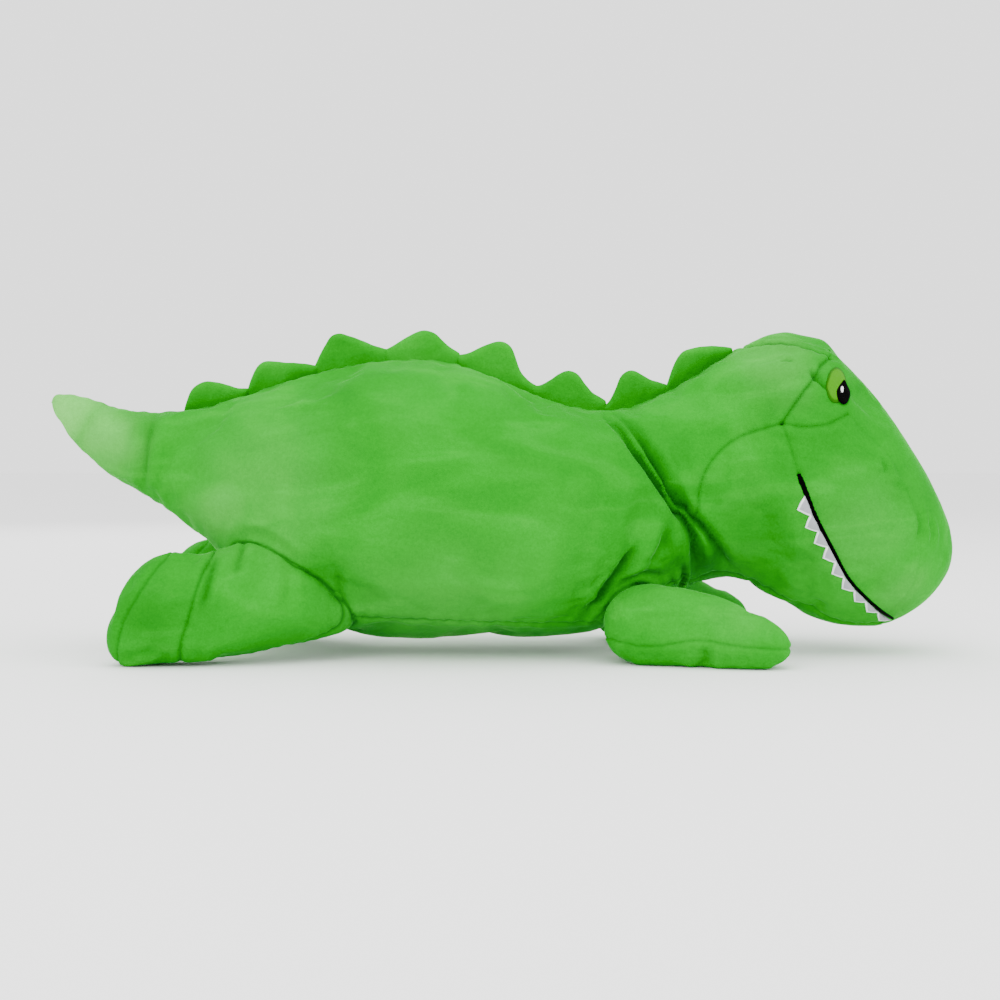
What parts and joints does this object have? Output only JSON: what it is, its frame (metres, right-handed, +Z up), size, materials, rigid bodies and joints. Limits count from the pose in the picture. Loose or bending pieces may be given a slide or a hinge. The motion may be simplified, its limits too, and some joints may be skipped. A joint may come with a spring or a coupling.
{
  "type": "stuffed dinosaur",
  "caption": "Soft stuffed dinosaur lying on its belly: pile fabric panels over fibre filling, padded back fins, stitched eyes and teeth, and neck, tail, arms, legs and feet that flex.",
  "frame": {"origin": "centre of the bounding box on the surface that the toy lies on", "axes": "+X towards the snout, -Y the dinosaur's right side, +Z up; the toy is a mirror image of itself across Y = 0"},
  "size_m": [0.5999, 0.238, 0.2131],
  "materials": {
    "pile_fabric": "short dense velvet-like pile with a soft nap",
    "fin_fabric": "short dense velvet-like pile, the same cloth as the body",
    "fibre_filling": "loose white polyester fibre",
    "black_thread": "close satin stitch",
    "white_thread": "close satin stitch with a corded edge",
    "olive_thread": "close satin stitch"
  },
  "bodies": {
    "torso": {"side_panel_right": "pile_fabric", "side_panel_left": "pile_fabric", "belly_panel": "pile_fabric", "torso_filling": "fibre_filling"},
    "head": {"skull_panel_right": "pile_fabric", "cheek_panel_right": "pile_fabric", "muzzle_panel_right": "pile_fabric", "skull_panel_left": "pile_fabric", "cheek_panel_left": "pile_fabric", "muzzle_panel_left": "pile_fabric", "crown_gusset": "pile_fabric", "snout_panel": "pile_fabric", "throat_gusset": "pile_fabric", "head_filling": "fibre_filling", "mouth_line_right": "black_thread", "teeth_right": "white_thread", "eye_right": "olive_thread", "pupil_right": "black_thread", "glint_right": "white_thread", "mouth_line_left": "black_thread", "teeth_left": "white_thread", "eye_left": "olive_thread", "pupil_left": "black_thread", "glint_left": "white_thread"},
    "tail": {"tail_panel_right": "pile_fabric", "tail_panel_left": "pile_fabric", "tail_filling": "fibre_filling"},
    "arm_right": {"arm_upper_right": "pile_fabric", "arm_sole_right": "pile_fabric", "arm_filling_right": "fibre_filling"},
    "arm_left": {"arm_upper_left": "pile_fabric", "arm_sole_left": "pile_fabric", "arm_filling_left": "fibre_filling"},
    "leg_right": {"leg_outer_right": "pile_fabric", "leg_inner_right": "pile_fabric", "leg_filling_right": "fibre_filling"},
    "leg_left": {"leg_outer_left": "pile_fabric", "leg_inner_left": "pile_fabric", "leg_filling_left": "fibre_filling"},
    "foot_right": {"foot_instep_right": "pile_fabric", "foot_sole_right": "pile_fabric", "foot_filling_right": "fibre_filling"},
    "foot_left": {"foot_instep_left": "pile_fabric", "foot_sole_left": "pile_fabric", "foot_filling_left": "fibre_filling"},
    "back_fin_1": {"fin_1": "fin_fabric"},
    "back_fin_2": {"fin_2": "fin_fabric"},
    "back_fin_3": {"fin_3": "fin_fabric"},
    "back_fin_4": {"fin_4": "fin_fabric"},
    "back_fin_5": {"fin_5": "fin_fabric"},
    "back_fin_6": {"fin_6": "fin_fabric"},
    "back_fin_7": {"fin_7": "fin_fabric"},
    "back_fin_8": {"fin_8": "fin_fabric"}
  },
  "joints": [
    {"name": "neck_nod", "type": "hinge", "parent": "torso", "child": "head", "pos_m": [0.132, 0, 0.114], "axis": [0, -1, 0], "range_deg": [-4, 6], "stiffness_Nm_per_rad": 3, "springref_deg": 1.72, "deforming": ["fin_7"]},
    {"name": "tail_wag", "type": "hinge", "parent": "torso", "child": "tail", "pos_m": [-0.236, 0, 0.13], "axis": [0, 0, 1], "range_deg": [-20, 20], "stiffness_Nm_per_rad": 0.4},
    {"name": "arm_swing_right", "type": "hinge", "parent": "torso", "child": "arm_right", "pos_m": [0.095, -0.073, 0.025], "axis": [0, 0, -1], "range_deg": [-8, 40], "stiffness_Nm_per_rad": 0.5},
    {"name": "arm_swing_left", "type": "hinge", "parent": "torso", "child": "arm_left", "pos_m": [0.095, 0.073, 0.025], "axis": [0, 0, 1], "range_deg": [-8, 40], "stiffness_Nm_per_rad": 0.5},
    {"name": "leg_swing_right", "type": "hinge", "parent": "torso", "child": "leg_right", "pos_m": [-0.128, -0.066, 0.035], "axis": [0, 0, 1], "range_deg": [0, 20], "stiffness_Nm_per_rad": 0.6},
    {"name": "leg_swing_left", "type": "hinge", "parent": "torso", "child": "leg_left", "pos_m": [-0.128, 0.066, 0.035], "axis": [0, 0, -1], "range_deg": [0, 20], "stiffness_Nm_per_rad": 0.6},
    {"name": "foot_turn_right", "type": "hinge", "parent": "leg_right", "child": "foot_right", "pos_m": [-0.19, -0.079, 0.036], "axis": [0, 0, 1], "range_deg": [-20, 20], "stiffness_Nm_per_rad": 0.3},
    {"name": "foot_turn_left", "type": "hinge", "parent": "leg_left", "child": "foot_left", "pos_m": [-0.19, 0.079, 0.036], "axis": [0, 0, -1], "range_deg": [-20, 20], "stiffness_Nm_per_rad": 0.3},
    {"name": "fin_tip_1", "type": "hinge", "parent": "torso", "child": "back_fin_1", "pos_m": [-0.189, 0, 0.1668], "axis": [0.9607, 0, 0.2775], "range_deg": [-20, 20], "stiffness_Nm_per_rad": 0.02},
    {"name": "fin_tip_2", "type": "hinge", "parent": "torso", "child": "back_fin_2", "pos_m": [-0.1455, 0, 0.1798], "axis": [0.9566, 0, 0.2913], "range_deg": [-20, 20], "stiffness_Nm_per_rad": 0.02},
    {"name": "fin_tip_3", "type": "hinge", "parent": "torso", "child": "back_fin_3", "pos_m": [-0.099, 0, 0.1917], "axis": [0.9788, 0, 0.2048], "range_deg": [-20, 20], "stiffness_Nm_per_rad": 0.02},
    {"name": "fin_tip_4", "type": "hinge", "parent": "torso", "child": "back_fin_4", "pos_m": [-0.0505, 0, 0.1956], "axis": [0.9991, 0, -0.0431], "range_deg": [-20, 20], "stiffness_Nm_per_rad": 0.02},
    {"name": "fin_tip_5", "type": "hinge", "parent": "torso", "child": "back_fin_5", "pos_m": [-0.0015, 0, 0.1837], "axis": [0.91, 0, -0.4147], "range_deg": [-20, 20], "stiffness_Nm_per_rad": 0.02},
    {"name": "fin_tip_6", "type": "hinge", "parent": "torso", "child": "back_fin_6", "pos_m": [0.046, 0, 0.1669], "axis": [0.9707, 0, -0.2404], "range_deg": [-20, 20], "stiffness_Nm_per_rad": 0.02},
    {"name": "fin_tip_7", "type": "hinge", "parent": "head", "child": "back_fin_7", "pos_m": [0.0885, 0, 0.1668], "axis": [0.9585, 0, 0.2851], "range_deg": [-20, 20], "stiffness_Nm_per_rad": 0.02},
    {"name": "fin_tip_8", "type": "hinge", "parent": "head", "child": "back_fin_8", "pos_m": [0.1325, 0, 0.1883], "axis": [0.8456, 0, 0.5338], "range_deg": [-20, 20], "stiffness_Nm_per_rad": 0.02}
  ]
}
